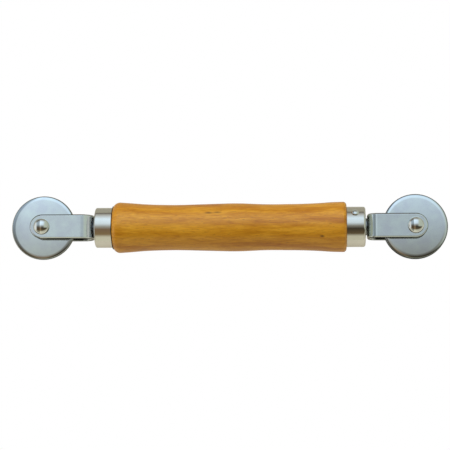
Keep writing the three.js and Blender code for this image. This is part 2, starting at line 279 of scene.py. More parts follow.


# %% [markdown]
# ### Lacquered hardwood
#
# The handle is a pale, close-grained hardwood under amber lacquer. Its fibres run along the handle, so each
# noise is stretched along X: broad bands of colour some 3 mm wide, fine fibres under half a millimetre, and
# short dark pores. One mineral streak and one small knot mark stand out, so they are listed one by one. The
# lacquer is a clear coat with its own gloss over the duller wood.


# %% Hardwood under amber lacquer
def lacquered_hardwood():
    material, tree, surface, place = new_material("lacquered_hardwood")
    bands = add_node(tree, "ShaderNodeTexNoise",
                     {"Scale": 1.0, "Detail": 3.0, "Roughness": 0.55, "Distortion": 0.35},
                     {"Vector": stretched(tree, place, (30, 4.0, 4.0))}).outputs["Fac"]
    fibres = add_node(tree, "ShaderNodeTexNoise", {"Scale": 1.0, "Detail": 4.0, "Roughness": 0.6},
                      {"Vector": stretched(tree, place, (4.5, 0.6, 0.6))}).outputs["Fac"]
    pores = add_node(tree, "ShaderNodeTexNoise", {"Scale": 1.0, "Detail": 1.0, "Roughness": 0.4},
                     {"Vector": stretched(tree, place, (2.2, 0.32, 0.32))}).outputs["Fac"]
    wood = colour_ramp(tree, bands, [(0.32, linear("#c68215")), (0.5, linear("#dc9c24")),
                                     (0.7, linear("#f1b53a"))])
    fine = colour_ramp(tree, fibres, [(0.32, linear("#c79f62")), (0.62, linear("#ffffff"))])
    wood = add_node(tree, "ShaderNodeMix", {"data_type": "RGBA", "blend_type": "MULTIPLY", 0: 0.5},
                    {6: wood, 7: fine}).outputs[2]
    pore_mask = add_node(tree, "ShaderNodeMapRange", {"From Min": 0.33, "From Max": 0.25, "To Max": 0.5},
                         {"Value": pores}).outputs["Result"]
    wood = add_node(tree, "ShaderNodeMix", {"data_type": "RGBA", 7: linear("#7a4a1c")},
                    {0: pore_mask, 6: wood}).outputs[2]
    for centre_mm, size_mm, strength in WOOD_MARKS:
        wood = wood_mark(tree, place, wood, centre_mm, size_mm, strength)
    bump = add_node(tree, "ShaderNodeBump", {"Strength": 0.12, "Distance": 0.05 * MM}, {"Height": fibres})
    lacquer = add_node(tree, "ShaderNodeBsdfPrincipled",
                       {"Roughness": 0.5, "IOR": 1.5, "Specular IOR Level": 0.2, "Coat Weight": 0.65,
                        "Coat Roughness": 0.2, "Coat IOR": 1.5, "Coat Tint": linear("#fff1d8")},
                       {"Base Color": wood, "Normal": bump.outputs["Normal"]})
    tree.links.new(lacquer.outputs["BSDF"], surface)
    return material


def wood_mark(tree, place, wood, centre_mm, size_mm, strength):
    """Darkens the wood inside a soft ellipsoid: its mask falls from 1 at the centre to 0 at size_mm."""
    centre = [MM * value for value in centre_mm]
    moved = add_node(tree, "ShaderNodeVectorMath", {"operation": "SUBTRACT", 1: centre}, {0: place})
    scaled = stretched(tree, moved.outputs["Vector"], size_mm)
    far = add_node(tree, "ShaderNodeVectorMath", {"operation": "LENGTH"}, {0: scaled}).outputs["Value"]
    mask = add_node(tree, "ShaderNodeMapRange", {"From Min": 1.0, "From Max": 0.0, "To Max": strength},
                    {"Value": far}).outputs["Result"]
    return add_node(tree, "ShaderNodeMix", {"data_type": "RGBA", 7: linear("#4e2a0e")},
                    {0: mask, 6: wood}).outputs[2]


WOOD_MARKS = [((-9.2, 6.1, 22.7), (2.6, 0.9, 0.9), 1.0), ((-4.9, 6.2, 22.6), (2.8, 0.8, 0.8), 0.7),
              ((46.6, -5.8, 23.0), (1.5, 0.8, 0.8), 1.0)]
hardwood = lacquered_hardwood()

# %% [markdown]
# ### Plated steel
#
# Bright zinc leaves steel pale and slightly blue, with faint straw-coloured clouds and a satin surface of
# tiny tumbling scratches. Nickel on the drawn ferrules is warmer and nearly a mirror. The hidden steel
# was only turned, so it is grey and satin, and the sintered bronze of the bushes is duller still. All of
# these are metals, so they differ in colour, in roughness and in how uneven both are.
#
# Sheared and turned edges are rougher than rolled faces. So a fork's edges and inner faces and the rims of
# the
# wheels are drawn duller, and also darker: that darkness is painted shade, for the shadow line along each
# strap's edge, the shade between the arms and the shade round the wheels' rims. The closed ends of the
# ferrules are only less smooth than their sides.


# %% Where plating is duller, and where shade is painted
def fade(tree, value, zone):
    """0 where a length is at the first end of zone, 1 at the second, and even in between."""
    ends = {"From Min": zone[0] * MM, "From Max": zone[1] * MM}
    return add_node(tree, "ShaderNodeMapRange", ends, {"Value": value}).outputs["Result"]


def length_of(tree, place, steps):
    """The length of a vector after steps, each an operation and the vector that it takes."""
    for operation, value in steps:
        place = add_node(tree, "ShaderNodeVectorMath", {"operation": operation, 1: value},
                         {0: place}).outputs["Vector"]
    return add_node(tree, "ShaderNodeVectorMath", {"operation": "LENGTH"}, {0: place}).outputs["Value"]


fork_low, fork_high = box_of("fork_right")
STRAP_WIDTH = (fork_high[1] - fork_low[1]) / MM
TO_AXLE = [("ABSOLUTE", (0, 0, 0)), ("SUBTRACT", (float(AXLE["right"][0]), 0, 0))]
# Where each zone of duller plating starts and where it is full, in mm; on wheels and forks it is painted
# shade too
WHEEL_RIM = (15.1, 15.95)  # from the axle
STRAP_EDGE = (STRAP_WIDTH / 2 - 0.3, STRAP_WIDTH / 2 - 0.15)  # from the strap's middle line
INNER_FACE = (5.8, 5.3)  # above or below the axis
BEND_END = (72, 73.5)  # from the middle of the tool
FERRULE_NOSE = (9.4, 9.1)  # from the handle's axis


def wheel_rim_shade(tree, place):
    """1 on the turned rim, where shade is painted, and 0 on the faces, by the distance from the axle: |(|x| -
    axle x, y)|.
    """
    return fade(tree, length_of(tree, place, [*TO_AXLE, ("MULTIPLY", (1, 1, 0))]), WHEEL_RIM)


def fork_edge_shade(tree, place):
    """1 on the sheared edges and the inner faces of a fork, where shade is painted, and 0 on its outer faces.

    The edges lie far from the strap's middle line, |(max(|x| - axle x, 0), y)|. The inner faces lie at a
    small height, |z - axis height|, and beyond the bend.
    """
    across = length_of(tree, place, [*TO_AXLE, ("MAXIMUM", (0, 0, -1)), ("MULTIPLY", (1, 1, 0))])
    height = length_of(tree, place, [("SUBTRACT", (0, 0, AXIS_HEIGHT)), ("MULTIPLY", (0, 0, 1))])
    along = length_of(tree, place, [("MULTIPLY", (1, 0, 0))])
    inner = add_node(tree, "ShaderNodeMath", {"operation": "MULTIPLY"},
                     {0: fade(tree, height, INNER_FACE), 1: fade(tree, along, BEND_END)}).outputs[0]
    return add_node(tree, "ShaderNodeMath", {"operation": "MAXIMUM"},
                    {0: fade(tree, across, STRAP_EDGE), 1: inner}).outputs[0]


def ferrule_nose(tree, place):
    """1 on the closed end of a ferrule and 0 on its side, by the distance from the handle's axis."""
    level = [("SUBTRACT", (0, 0, AXIS_HEIGHT)), ("MULTIPLY", (0, 1, 1))]
    return fade(tree, length_of(tree, place, level), FERRULE_NOSE)


# %% Plated metal
def plated_metal(name, colours, cloud_mm, roughness, scratch_mm, scratch_depth_mm, dull_and_painted_shade=None):
    """A metal whose colour and roughness drift in clouds of cloud_mm, over fine scratches of scratch_mm.
    dull_and_painted_shade is a colour, a roughness, and a function that says where the metal has them. On
    forks and wheels that colour is painted shade."""
    material, tree, surface, place = new_material(name)
    clouds = add_node(tree, "ShaderNodeTexNoise", {"Scale": 1.0, "Detail": 4.0, "Roughness": 0.55},
                      {"Vector": stretched(tree, place, (cloud_mm,) * 3)}).outputs["Fac"]
    low, high = colours
    colour = colour_ramp(tree, clouds, [(0.35, linear(low)), (0.65, linear(high))])
    scratches = add_node(tree, "ShaderNodeTexNoise", {"Scale": 1.0, "Detail": 6.0, "Roughness": 0.7},
                         {"Vector": stretched(tree, place, scratch_mm)}).outputs["Fac"]
    spread = add_node(tree, "ShaderNodeMapRange", {"To Min": roughness[0], "To Max": roughness[1]},
                      {"Value": scratches}).outputs["Result"]
    if dull_and_painted_shade:
        dull_and_shade_colour, dull_roughness, where = dull_and_painted_shade
        share = where(tree, place)
        # The zone's colour is painted shade on forks and wheels, and the metal's own colour on the ferrules
        colour = add_node(tree, "ShaderNodeMix", {"data_type": "RGBA", 7: linear(dull_and_shade_colour)},
                          {0: share, 6: colour}).outputs[2]
        spread = add_node(tree, "ShaderNodeMix", {"data_type": "FLOAT", 3: dull_roughness},
                          {0: share, 2: spread}).outputs[0]
    bump = add_node(tree, "ShaderNodeBump", {"Strength": 0.5, "Distance": scratch_depth_mm * MM},
                    {"Height": scratches})
    metal = add_node(tree, "ShaderNodeBsdfPrincipled", {"Metallic": 1.0},
                     {"Base Color": colour, "Roughness": spread, "Normal": bump.outputs["Normal"]})
    tree.links.new(metal.outputs["BSDF"], surface)
    return material


# On the strap, the dark colour of the edges and inner faces is painted shade
zinc_strap = plated_metal("bright_zinc_on_strap", ("#dde1e6", "#e6eeec"), cloud_mm=5.0,
                          roughness=(0.09, 0.16), scratch_mm=(2.0, 0.4, 0.4), scratch_depth_mm=0.003,
                          dull_and_painted_shade=("#35352f", 0.2, fork_edge_shade))
# On the wheel, the dark colour of the rim is painted shade
zinc_wheel = plated_metal("bright_zinc_on_wheel", ("#dee2e8", "#e8f0ee"), cloud_mm=6.0,
                          roughness=(0.05, 0.1), scratch_mm=(0.8, 0.8, 0.8), scratch_depth_mm=0.002,
                          dull_and_painted_shade=("#50524e", 0.15, wheel_rim_shade))
nickel = plated_metal("bright_nickel", ("#ddd9d1", "#e3dfd7"), cloud_mm=8.0,
                      roughness=(0.07, 0.12), scratch_mm=(0.4, 2.5, 2.5), scratch_depth_mm=0.001,
                      dull_and_painted_shade=("#ddd9d1", 0.25, ferrule_nose))
bright_steel = plated_metal("bright_plated_rivet", ("#e0e1de", "#e9ebe8"), cloud_mm=3.0,
                            roughness=(0.04, 0.08), scratch_mm=(0.5, 0.5, 0.5), scratch_depth_mm=0.002)
plain_steel = plated_metal("machined_steel", ("#8d8f90", "#a3a5a6"), cloud_mm=4.0,
                           roughness=(0.32, 0.5), scratch_mm=(0.3, 0.3, 1.5), scratch_depth_mm=0.004)
bronze = plated_metal("sintered_bronze", ("#a07a45", "#b58c55"), cloud_mm=2.0,
                      roughness=(0.4, 0.55), scratch_mm=(0.3, 0.3, 0.3), scratch_depth_mm=0.01)


# %% Finish, body and CAD node of each piece
def finish_piece(piece, material, slot, body, *nodes):
    """Gives a piece its material, hangs it on its body's empty, and hides the CAD nodes that it stands for.
    """
    piece.data.materials.clear()
    piece.data.materials.append(material)
    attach(piece, body)
    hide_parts(*nodes)


# %% [markdown]
# ## The handle
#
# The CAD handle carries the turned outline as rings of points. Reading the rings back gives the outline
# without repeating a number, and a smooth curve through them takes the facets away.

# %% The handle's outline, from the frame
handle_points = np.array([v.co for v in frame["nodes"]["handle"].data.vertices])
handle_radius = np.hypot(handle_points[:, 1], handle_points[:, 2] - AXIS_HEIGHT)
low, high = box_of("ferrule_left")
FERRULE_RADIUS = (high[1] - low[1]) / 2
skin = handle_radius > FERRULE_RADIUS + 0.4 * MM  # outside the spigots and the bores
RING_GRID = 1e-5  # metres, to which the rings' places are rounded
ring_x = np.unique(handle_points[skin, 0].round(5))
rings = [skin & (abs(handle_points[:, 0] - x) < 2 * RING_GRID) for x in ring_x]
ring_radius = np.array([handle_radius[ring].max() for ring in rings])
print("handle rings", len(ring_x), "from", ring_x[0], "to", ring_x[-1])


# %% Handle
def smooth_through(x, y, dense):
    """Cubic Hermite curve through (x, y): each slope is the mean of the slopes on its two sides."""
    step = np.diff(y) / np.diff(x)
    slope = np.concatenate([[step[0]], (step[:-1] + step[1:]) / 2, [step[-1]]])
    i = np.clip(np.searchsorted(x, dense) - 1, 0, len(x) - 2)
    gap = x[i + 1] - x[i]
    t = (dense - x[i]) / gap
    return ((2 * t**3 - 3 * t**2 + 1) * y[i] + (t**3 - 2 * t**2 + t) * gap * slope[i]
            + (3 * t**2 - 2 * t**3) * y[i + 1] + (t**3 - t**2) * gap * slope[i + 1])


FIT_GAP = 0.3 * MM  # what the CAD leaves between pieces that touch on the real tool
HANDLE_CORNER = {"left": 3.5, "right": 1.7}  # mm, radius of the turned corner at each shoulder
SHOULDER_X = {"left": box_of("ferrule_left")[1][0] + FIT_GAP,
              "right": box_of("ferrule_right")[0][0] - FIT_GAP}
handle_low, handle_high = box_of("handle")
belly = ((ring_x > SHOULDER_X["left"] + HANDLE_CORNER["left"] * MM - RING_GRID)
         & (ring_x < SHOULDER_X["right"] - HANDLE_CORNER["right"] * MM + RING_GRID))
belly_x, belly_radius = ring_x[belly] / MM, ring_radius[belly] / MM
BELLY_POINTS = 200
dense_x = np.linspace(belly_x[0], belly_x[-1], BELLY_POINTS)
belly_outline = np.column_stack([smooth_through(belly_x, belly_radius, dense_x), dense_x])

SPIGOT_RADIUS = FERRULE_RADIUS / MM - 1.0  # mm; the ferrule's wall and the gap fill the rest
BORE_RADIUS = 3.3
DRILL_POINT = 2.0  # mm, how far the cone at the bottom of the bore goes


def shoulder_outline(side):
    """From the bottom of the end bore, along the spigot and out round the shoulder's corner."""
    sign, end_x = OUTWARD[side], (handle_low if side == "left" else handle_high)[0] / MM
    shoulder, corner = SHOULDER_X[side] / MM, HANDLE_CORNER[side]
    top = belly_radius[0] if side == "left" else belly_radius[-1]
    tang_low, tang_high = box_of(f"tang_{side}")
    bore_x = ((tang_high if side == "left" else tang_low)[0] - sign * FIT_GAP) / MM
    chain = [(0, bore_x - sign * DRILL_POINT, 0), (BORE_RADIUS, bore_x, 0),
             (BORE_RADIUS, end_x, 0.3), (SPIGOT_RADIUS, end_x, 0.5), (SPIGOT_RADIUS, shoulder, 0.2),
             (top, shoulder, corner), (top, shoulder - sign * corner * 1.02, 0)]
    return rounded_outline(chain, closed=False, steps=14)[:-2]


handle = turned("handle_turned", np.vstack([shoulder_outline("left"), belly_outline,
                                            shoulder_outline("right")[::-1]]),
                HANDLE_AXIS, X, LARGE_ROUND)
finish_piece(handle, hardwood, "lacquered_wood", "body", "handle")

# %% [markdown]
# ## Ferrules and their pins
#
# A ferrule is a drawn cup of thin sheet pressed over the spigot, so its closed end has a rounded corner and
# its open edge butts against the wood. A small round-headed brad through its side keeps it from turning.

# %% Ferrules
FERRULE_WALL = 0.7
FERRULE_CORNER = {"left": 0.7, "right": 1.1}  # mm, outside radius of the drawn corner
FERRULE_HOLE = 4.5
MOUTH_GAP = 0.03  # mm, between the open edge and the wood
SHEET_ROUNDING = 0.12
MOUTH_ROUNDING = 0.15
for side in ("left", "right"):
    sign = OUTWARD[side]
    low, high = box_of(f"ferrule_{side}")
    nose_x = abs((low if sign < 0 else high)[0]) / MM
    open_x = abs(SHOULDER_X[side]) / MM + MOUTH_GAP
    outer, corner = FERRULE_RADIUS / MM, FERRULE_CORNER[side]
    inner = outer - FERRULE_WALL
    inner_corner = max(MOUTH_ROUNDING, corner - FERRULE_WALL)
    cup = rounded_outline([(outer, open_x, MOUTH_ROUNDING), (outer, nose_x, corner),
                           (FERRULE_HOLE, nose_x, SHEET_ROUNDING),
                           (FERRULE_HOLE, nose_x - FERRULE_WALL, SHEET_ROUNDING),
                           (inner, nose_x - FERRULE_WALL, inner_corner),
                           (inner, open_x, MOUTH_ROUNDING)], closed=True, steps=8)
    ferrule = turned(f"ferrule_{side}_drawn", cup, HANDLE_AXIS, sign * X, LARGE_ROUND, closed=True)
    finish_piece(ferrule, nickel, "ferrule_nickel", "body", f"ferrule_{side}")

# %% Ferrule pins
PIN_RADIUS = 0.8
PIN_HEAD_RADIUS = 1.9
PIN_DOME = 1.0
PIN_TIP = 5.4  # mm from the handle's axis
PIN_POINT = 1.6  # mm, the length of the taper at the tip
PIN_SINK = 0.15  # mm, how deep the head is set into the ferrule
HEAD_RIM = 0.25  # mm, the upright edge below a domed head
for side in ("left", "right"):
    low, high = box_of(f"ferrule_pin_{side}")
    middle = (low + high) / 2
    direction = np.array([0, middle[1], middle[2] - AXIS_HEIGHT])
    direction /= np.linalg.norm(direction)
    foot = np.array([middle[0], 0, AXIS_HEIGHT])
    seat = FERRULE_RADIUS / MM - PIN_SINK
    rim = seat + HEAD_RIM
    stem = rounded_outline([(0, PIN_TIP, 0), (PIN_RADIUS, PIN_TIP + PIN_POINT, 0.1), (PIN_RADIUS, seat, 0.1),
                            (PIN_HEAD_RADIUS, seat, 0.1), (PIN_HEAD_RADIUS, rim, 0)], closed=False)
    brad = np.vstack([stem, dome(PIN_HEAD_RADIUS, rim, PIN_DOME)[1:]])
    pin = turned(f"ferrule_pin_{side}_brad", brad, foot, direction, PIN_ROUND)
    finish_piece(pin, bright_steel, "rivet_steel", "body", f"ferrule_pin_{side}")

# %% [markdown]
# ## The forks
#
# Each fork is one length of rolled steel strap with round ends, bent to a U. It is worked out flat first:
# the strap's outline is a long shape with half-round ends, and rings inside that outline climb round its
# rounded edge onto the flat. Every point then has a distance along the strap, one across it and one through
# its thickness, and the bend only has to say where each distance along the strap goes.

# %% The bent line that the strap follows
BEVEL_WIDTH = 0.6  # mm, across the strap, of the slope that rolling left along its edges
BEVEL_DEPTH = 0.5
BEVEL_ROUNDING = 0.25
HALF_HEIGHT = (fork_high[2] - fork_low[2]) / 2 / MM
BASE_X = {"left": -box_of("fork_left")[1][0] / MM, "right": fork_low[0] / MM}
STRAP_THICKNESS = 1.8
BEND_RADIUS = {"left": 6.4 - STRAP_THICKNESS / 2, "right": 5.0 - STRAP_THICKNESS / 2}  # to the strap's middle
AXLE_X = AXLE["right"][0] / MM


def bent_line(s, side):
    """Place and outward direction, as (x, z), of the middle of the strap at distance s along it.

    s is 0 at the middle of the base. |s| first climbs the flat of the base, then the quarter circle of
    the bend, then runs out along the arm. z takes the sign of s.
    """
    radius = BEND_RADIUS[side]
    base_half = HALF_HEIGHT - STRAP_THICKNESS / 2 - radius
    run = np.abs(s)
    turn = np.clip((run - base_half) / radius, 0, math.pi / 2)
    straight = np.maximum(run - base_half - radius * math.pi / 2, 0)
    x = BASE_X[side] + STRAP_THICKNESS / 2 + radius * (1 - np.cos(turn)) + straight
    z = np.minimum(run, base_half) + radius * np.sin(turn)
    sign = np.where(s < 0, -1, 1)
    return np.stack([x, sign * z], -1), np.stack([-np.cos(turn), sign * np.sin(turn)], -1)


def axle_run(side):
    """How far along the strap the axle is from the middle of the base: half base, quarter bend, arm."""
    radius, middle = BEND_RADIUS[side], STRAP_THICKNESS / 2
    arm = AXLE_X - (BASE_X[side] + middle + radius)
    return HALF_HEIGHT - middle - radius + radius * math.pi / 2 + arm


strap_lengths = {side: round(2 * axle_run(side) + STRAP_WIDTH, 1) for side in BASE_X}
print("straps before bending", strap_lengths, "mm long")


# %% The strap worked out flat
def flat_strap(side, round_points=48, straight_points=150):
    """Rings round the strap, as (along, across, through) in mm.

    A ring set in by d from the outline is a half circle of radius width / 2 - d about each axle and two
    straights between. d and through follow half a section of the strap: from the middle of the outer face
    to the edge, where a bevel with rounded corners leads to the side, and back in on the inner face.
    """
    half, deep = STRAP_WIDTH / 2, STRAP_THICKNESS / 2
    section = rounded_outline([(0, deep, 0), (half - BEVEL_WIDTH, deep, BEVEL_ROUNDING),
                               (half, deep - BEVEL_DEPTH, BEVEL_ROUNDING / 2),
                               (half, BEVEL_DEPTH - deep, BEVEL_ROUNDING / 2),
                               (half - BEVEL_WIDTH, -deep, BEVEL_ROUNDING), (0, -deep, 0)], closed=False)
    set_in, through = half - section[:, 0], section[:, 1]
    angle = np.linspace(-math.pi / 2, math.pi / 2, round_points)
    reach_out = axle_run(side)
    run = np.linspace(reach_out, -reach_out, straight_points)[1:-1]
    centre = np.concatenate([np.full(round_points, reach_out), run, np.full(round_points, -reach_out),
                             run[::-1]])
    reach = np.concatenate([np.cos(angle), 0 * run, -np.cos(angle), 0 * run])
    across = np.concatenate([np.sin(angle), 0 * run + 1, -np.sin(angle), 0 * run - 1])
    radius = (half - set_in)[:, None]
    depth = np.broadcast_to(through[:, None], (len(set_in), len(centre)))
    return np.stack([centre + radius * reach, radius * across, depth], axis=-1)


def bent(flat, side):
    """The flat strap's points on the bent line: the line's point, plus through along its outward
    direction, with across on Y. The left fork is the right one turned half round."""
    place, outward = bent_line(flat[..., 0], side)
    xz = place + flat[..., 2:3] * outward
    sign = OUTWARD[side]
    return np.stack([sign * xz[..., 0], sign * flat[..., 1], xz[..., 1]], -1) * MM + AXIS_HEIGHT * Z


for side in ("left", "right"):
    strap = flat_strap(side)
    points = bent(strap, side).reshape(-1, 3)
    fork = add_piece(f"fork_{side}_strap", points, grid_faces(*strap.shape[:2], False))
    finish_piece(fork, zinc_strap, "fork_zinc", "body", f"fork_{side}")

# %% [markdown]
# ## Wheels
#
# Both wheels are turned from plate and plated. The convex one has a bulging rim, to press the screen into
# the frame's channel; the other has a half-round groove between two lips, to press the round spline in.
# Their faces are crowned very slightly, as tumbled discs are, and that is what makes them shade from light
# to dark.

# %% Wheels
WHEEL_RADIUS = 16.0
WHEEL_BORE = 3.7
BORE_CHAMFER = 0.3  # mm, of the small slope at the mouth of the bore
BORE_EDGE = 0.5  # mm, from the mouth's corner to where wall and face are plain again
CROWN = 0.4
CHAMFER_WIDTH = 0.75  # mm, of the shallow slope between face and rim
CHAMFER_DEPTH = 0.22
EDGE_WIDTH = 0.4  # mm, from the chamfer out to the rim
EDGE_DEPTH = 0.3  # mm, of the rounded edge, above the rim
CONVEX_RIM = 0.05  # mm from the middle plane to where the bulge of the rim starts
GROOVE_HALF = 1.45
GROOVE_LIP = 0.05
low, high = box_of("convex_wheel")
convex_half = (high[2] - low[2]) / 2 / MM
low, high = box_of("grooved_wheel")
grooved_half = (high[2] - low[2]) / 2 / MM


def crowned_face(half, rim_radius, steps=12):
    """From the bore to the rim: along = half - CROWN * (r / WHEEL_RADIUS) ** 2."""
    radius = np.linspace(WHEEL_BORE + BORE_EDGE, rim_radius, steps)
    return np.column_stack([radius, half - CROWN * (radius / WHEEL_RADIUS) ** 2])


def mirrored(outline):
    """The outline's upper half followed by its mirror image below."""
    return np.vstack([outline, outline[::-1] * [1, -1]])


def arc_points(centre, radius, start, end, steps):
    """Circle arc: centre + radius * (cos t, sin t), with t from start to end in degrees."""
    t = np.radians(np.linspace(start, end, steps + 1))
    return np.array(centre) + radius * np.column_stack([np.cos(t), np.sin(t)])


def bore_chamfer(half):
    """Bore wall and a small chamfer up to the face."""
    return np.array([[WHEEL_BORE, half - BORE_EDGE], [WHEEL_BORE, half - BORE_CHAMFER - 0.06],
                     [WHEEL_BORE + BORE_CHAMFER, half - 0.05]])


def wheel_side(half, rim_along):
    """One side of a wheel from the bore to the rim, which it reaches rim_along from the middle plane: the
    crowned face, a shallow chamfer, and a steep edge that rounds over into the rim."""
    chamfer_radius = WHEEL_RADIUS - EDGE_WIDTH
    face = crowned_face(half, chamfer_radius - CHAMFER_WIDTH)
    face_radius, face_along = face[-1]
    edge = rounded_outline([(face_radius, face_along, 0), (chamfer_radius, face_along - CHAMFER_DEPTH, 0.4),
                            (WHEEL_RADIUS, rim_along + EDGE_DEPTH, 0.5), (WHEEL_RADIUS, rim_along, 0)],
                           closed=False)
    return np.vstack([bore_chamfer(half), face[:-1], edge])


convex_outline = mirrored(wheel_side(convex_half, CONVEX_RIM))
# The upper half of the groove stops just short of its lip and of its mirror image
groove = arc_points((WHEEL_RADIUS - 0.02, 0), GROOVE_HALF, 92, 178, 16)
grooved_outline = mirrored(np.vstack([wheel_side(grooved_half, GROOVE_HALF + GROOVE_LIP), groove]))
for name, side, outline in (("convex_wheel", "left", convex_outline),
                            ("grooved_wheel", "right", grooved_outline)):
    wheel = turned(f"{name}_disc", outline, AXLE[side], Z, LARGE_ROUND, closed=True)
    finish_piece(wheel, zinc_wheel, "wheel_zinc", name, name)

# %% [markdown]
# ## Axles
#
# A domed rivet closes each fork. Inside the wheel it passes through a bronze bush, which is exactly as long
# as the gap between the arms, so that closing the rivet grips the bush and not the wheel. Two washers over
# the bush centre the wheel. The rivet's head was formed in a die. Its tail was hammered, so it is flatter.

# %% Rivets, bushes and spacers
RIVET_RADIUS = 2.4
RIVET_HEAD_RADIUS = 4.05
RIVET_HEAD_HEIGHT = 3.0
RIVET_TAIL_RADIUS = 3.9
RIVET_TAIL_HEIGHT = 2.2
TAIL_RIM = 0.15
BUSH_RADIUS = 3.6
BUSH_INNER = 2.5
WASHER_HOLE = BUSH_RADIUS + 0.1
SPACER_RADIUS = 5.6
gap_half = HALF_HEIGHT - STRAP_THICKNESS
for side in ("left", "right"):
    centre = AXLE[side]
    tail_rim, head_rim = -HALF_HEIGHT - TAIL_RIM, HALF_HEIGHT + HEAD_RIM
    tail = dome(RIVET_TAIL_RADIUS, -tail_rim, RIVET_TAIL_HEIGHT)[::-1] * [1, -1]
    shank = rounded_outline([(RIVET_TAIL_RADIUS, tail_rim, 0), (RIVET_TAIL_RADIUS, -HALF_HEIGHT, 0.1),
                             (RIVET_RADIUS, -HALF_HEIGHT, 0), (RIVET_RADIUS, HALF_HEIGHT, 0),
                             (RIVET_HEAD_RADIUS, HALF_HEIGHT, 0.1), (RIVET_HEAD_RADIUS, head_rim, 0)],
                            closed=False)
    head = dome(RIVET_HEAD_RADIUS, head_rim, RIVET_HEAD_HEIGHT - HEAD_RIM, 24)
    outline = np.vstack([tail[:-1], shank, head[1:]])
    rivet = turned(f"axle_rivet_{side}_domed", outline, centre, Z, SMALL_ROUND)
    finish_piece(rivet, bright_steel, "rivet_steel", "body", f"axle_rivet_{side}")
    sleeve = rounded_outline([(BUSH_INNER, -gap_half, 0.1), (BUSH_RADIUS, -gap_half, 0.2),
                              (BUSH_RADIUS, gap_half, 0.2), (BUSH_INNER, gap_half, 0.1)], closed=True)
    bush = turned(f"axle_bush_{side}_sleeve", sleeve, centre, Z, SMALL_ROUND, closed=True)
    finish_piece(bush, bronze, "bush_bronze", "body", f"axle_bush_{side}")
    for word, sign in (("up", 1), ("down", -1)):
        low, high = box_of(f"spacer_{side}_{word}")
        near = min(abs(np.array([low[2], high[2]]) - AXIS_HEIGHT) / MM)
        washer = rounded_outline([(WASHER_HOLE, near, 0.15), (SPACER_RADIUS, near, 0.25),
                                  (SPACER_RADIUS, gap_half, 0.25), (WASHER_HOLE, gap_half, 0.15)],
                                 closed=True)
        spacer = turned(f"spacer_{side}_{word}_washer", washer, centre, sign * Z, SMALL_ROUND, closed=True)
        finish_piece(spacer, plain_steel, "plain_steel", "body", f"spacer_{side}_{word}")

# %% [markdown]
# ## Tangs
#
# The tang is what holds a fork in the handle. Its ribbed shank is driven into the end bore, its collar sits
# on the end grain inside the ferrule's hole, and its nose is riveted over inside the fork. Only the collar's
# edge and the riveted head can be seen, but the whole piece is made.

# %% Tangs
TANG_RADIUS = 3.0
RIB_DEPTH = 0.5
RIB_PITCH = 4.0
RIB_COUNT = 6
COLLAR_RADIUS = 4.2
COLLAR_LENGTH = 1.5
NOSE_RADIUS = 2.4
TANG_HEAD_RADIUS = 3.4
TANG_NECK = 0.4  # mm, from the fork's inner face to where the riveted head spreads
TANG_HEAD_RISE = (1.0, 1.3)  # mm, from the inner face to the head's corner and to its dome
for side in ("left", "right"):
    sign = OUTWARD[side]
    low, high = box_of(f"tang_{side}")
    tip_x, head_x = sorted(abs(np.array([low[0], high[0]])) / MM)
    rib_x = tip_x + RIB_PITCH * (np.arange(RIB_COUNT) + 0.75)
    ribs = [corner for x in rib_x for corner in ((TANG_RADIUS - RIB_DEPTH, x - RIB_PITCH / 2, 0.2),
                                                 (TANG_RADIUS, x, 0.08))]
    base_x = BASE_X[side]
    collar_x = base_x - COLLAR_LENGTH
    inner_x = base_x + STRAP_THICKNESS
    corner_x, dome_x = (inner_x + rise for rise in TANG_HEAD_RISE)
    chain = [(0, tip_x, 0), *ribs, (TANG_RADIUS, collar_x, 0.1), (COLLAR_RADIUS, collar_x, 0.15),
             (COLLAR_RADIUS, base_x, 0.15), (NOSE_RADIUS, base_x, 0),
             (NOSE_RADIUS, inner_x + TANG_NECK, 0.1), (TANG_HEAD_RADIUS, corner_x, 0.1),
             (TANG_HEAD_RADIUS, dome_x, 0)]
    outline = np.vstack([rounded_outline(chain, closed=False),
                         dome(TANG_HEAD_RADIUS, dome_x, head_x - dome_x)[1:]])
    tang = turned(f"tang_{side}_ribbed", outline, HANDLE_AXIS, sign * X, SMALL_ROUND)
    finish_piece(tang, plain_steel, "plain_steel", "body", f"tang_{side}")

# %% [markdown]
# ## Floor and light
#
# The floor is a plain light table, white to the camera and a warm pale grey to everything that mirrors it.
# The room is one soft studio, drawn as the colour that light has in each direction. Metal has little colour
# of its own: it looks right only when it has the right room to mirror. On the far side hangs a big cool
# panel, the near side is dark where the viewer would stand, and low all round there is pale daylight.
# The angle round the handle's direction chooses the colour. Beyond the left end stands a second panel, which
# glints on every dome, and beyond the right end the room is a plain grey.


# %% Light table
FLOOR_SIZE = 4.0
GLOW_FADE = (-10 * MM, 30 * MM)  # from the near side of the tool to the far side


def light_table():
    """White to the camera. To a mirror it is a warm grey glow, dimmer on the far side of the tool."""
    material, tree, surface, place = new_material("light_table")
    white = add_node(tree, "ShaderNodeEmission", {"Color": linear("#ffffff"), "Strength": 1.0})
    across = add_node(tree, "ShaderNodeSeparateXYZ", links={0: place}).outputs["Y"]
    far_side = add_node(tree, "ShaderNodeMapRange", {"From Min": GLOW_FADE[0], "From Max": GLOW_FADE[1]},
                        {"Value": across}).outputs["Result"]
    tint = colour_ramp(tree, far_side, [(0, linear("#aaa596")), (1, linear("#66635a"))])
    glow = add_node(tree, "ShaderNodeEmission", links={"Color": tint})
    pale = add_node(tree, "ShaderNodeBsdfDiffuse", {"Color": linear("#a6a498")})
    table = add_node(tree, "ShaderNodeAddShader", links={0: pale.outputs[0], 1: glow.outputs[0]})
    path = add_node(tree, "ShaderNodeLightPath")
    seen = add_node(tree, "ShaderNodeMixShader",
                    links={0: path.outputs["Is Camera Ray"], 1: table.outputs[0], 2: white.outputs[0]})
    tree.links.new(seen.outputs[0], surface)
    return material


